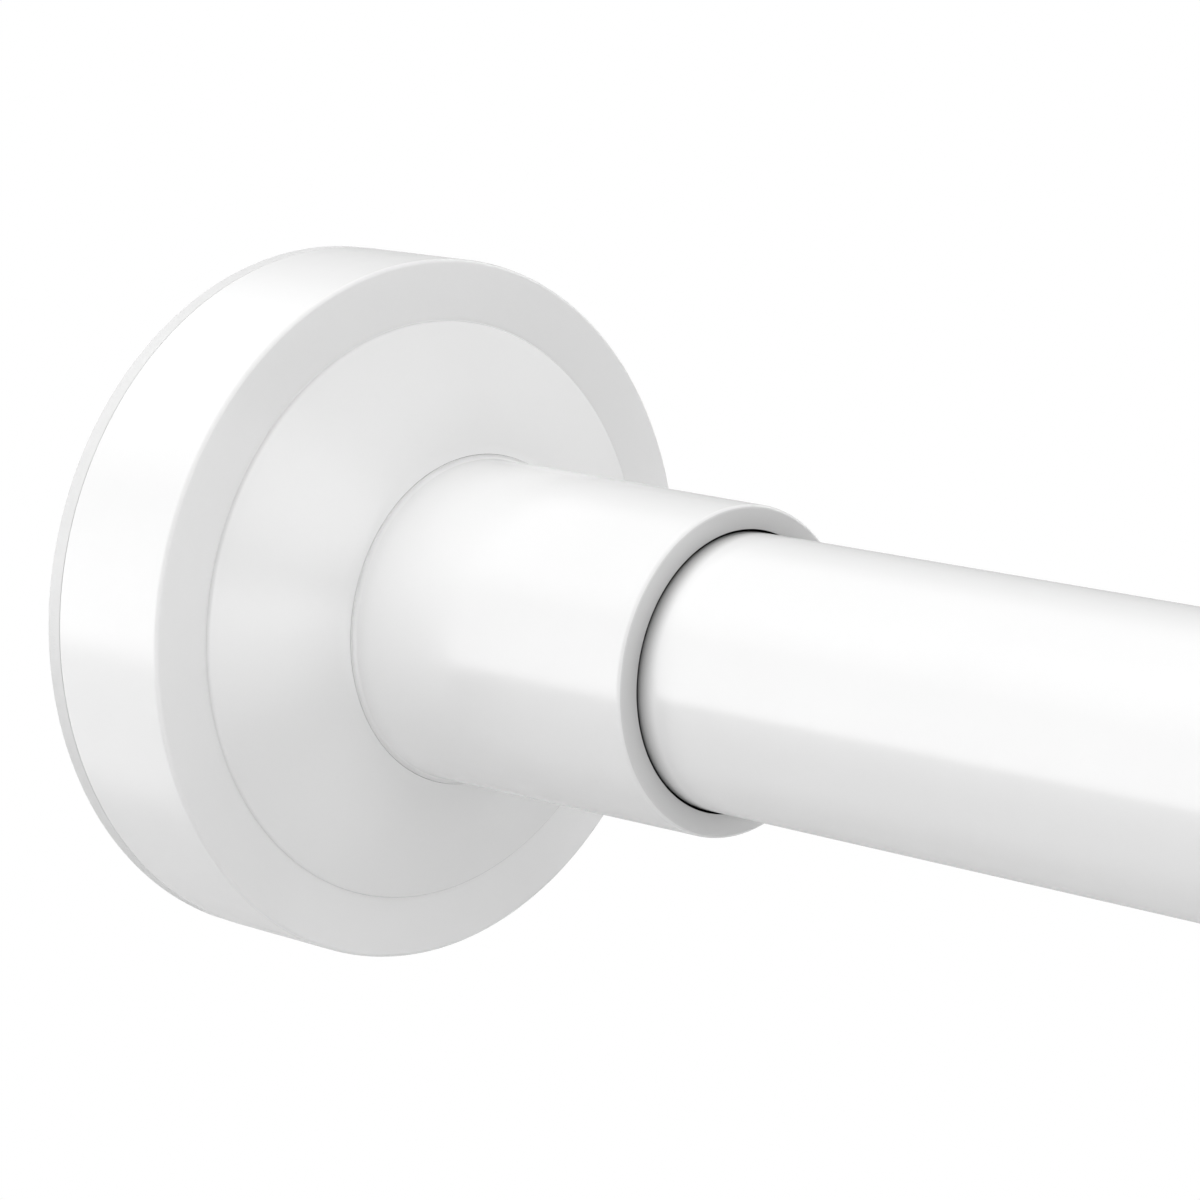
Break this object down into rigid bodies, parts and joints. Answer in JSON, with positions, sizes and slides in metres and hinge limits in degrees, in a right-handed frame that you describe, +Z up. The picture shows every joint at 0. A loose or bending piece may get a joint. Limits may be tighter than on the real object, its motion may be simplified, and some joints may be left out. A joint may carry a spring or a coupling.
{
  "type": "spring tension rod",
  "caption": "Telescoping spring tension rod with round wall flanges, stepped and flared covers, rubber grip pads and an inner twist lock.",
  "frame": {"origin": "centre of the near grip pad's face that meets the wall, on the rod's axis", "axes": "+X along the rod from the near wall to the far wall, +Z up, +Y square to both"},
  "size_m": [0.83, 0.0664, 0.0664],
  "materials": {
    "tube_enamel": "smooth gloss white powder coat",
    "cap_plastic": "gloss white moulded plastic",
    "grip_rubber": "matt pale grey rubber",
    "inner_nylon": "natural moulded nylon",
    "zinc_steel": "bright zinc plate",
    "spring_steel": "drawn and oiled spring wire",
    "seal_rubber": "black rubber ring"
  },
  "bodies": {
    "flange_a": {"grip_pad_a": "grip_rubber", "socket_base_a": "cap_plastic", "flange_cover_a": "cap_plastic", "end_washer_a": "zinc_steel"},
    "outer_rod": {"outer_tube": "tube_enamel", "mouth_bush": "cap_plastic", "end_plug_a": "inner_nylon", "end_screw_a": "zinc_steel"},
    "lock": {"lock_sleeve": "inner_nylon", "drag_ring": "seal_rubber"},
    "cone": {"lock_cone": "inner_nylon"},
    "spindle": {"spindle": "zinc_steel", "lock_stop_nut": "zinc_steel", "thrust_washer": "zinc_steel", "spring_seat_washer": "zinc_steel", "spring": "spring_steel", "travel_stop_washer": "zinc_steel", "travel_stop_nut": "zinc_steel"},
    "inner_rod": {"inner_tube": "tube_enamel", "guide_bush": "inner_nylon", "end_plug_b": "inner_nylon", "end_screw_b": "zinc_steel"},
    "flange_b": {"grip_pad_b": "grip_rubber", "socket_base_b": "cap_plastic", "flange_cover_b": "cap_plastic", "reducer_sleeve_b": "cap_plastic", "end_washer_b": "zinc_steel"}
  },
  "joints": [
    {"name": "near_flange_turn", "type": "hinge", "parent": "flange_a", "child": "outer_rod", "pos_m": [0.0065, 0, 0], "axis": [1, 0, 0], "continuous": true},
    {"name": "length_slide", "type": "slide", "parent": "outer_rod", "child": "lock", "axis": [1, 0, 0], "range_m": [-0.12, 0.27]},
    {"name": "lock_twist", "type": "hinge", "parent": "lock", "child": "spindle", "pos_m": [0.2129, 0, 0], "axis": [-1, 0, 0], "range_deg": [0, 576]},
    {"name": "cone_draw", "type": "slide", "parent": "lock", "child": "cone", "axis": [1, 0, 0], "range_m": [0, 0.002]},
    {"name": "spring_travel", "type": "slide", "parent": "spindle", "child": "inner_rod", "axis": [1, 0, 0], "range_m": [-0.022, 0], "stiffness_N_per_m": 4100, "springref_m": 0.01, "deforming": ["spring"]},
    {"name": "far_flange_turn", "type": "hinge", "parent": "inner_rod", "child": "flange_b", "pos_m": [0.8235, 0, 0], "axis": [1, 0, 0], "continuous": true}
  ],
  "couplings": [
    {"joint": "cone_draw", "follows": "lock_twist", "m_per_rad": 0.00019894}
  ]
}
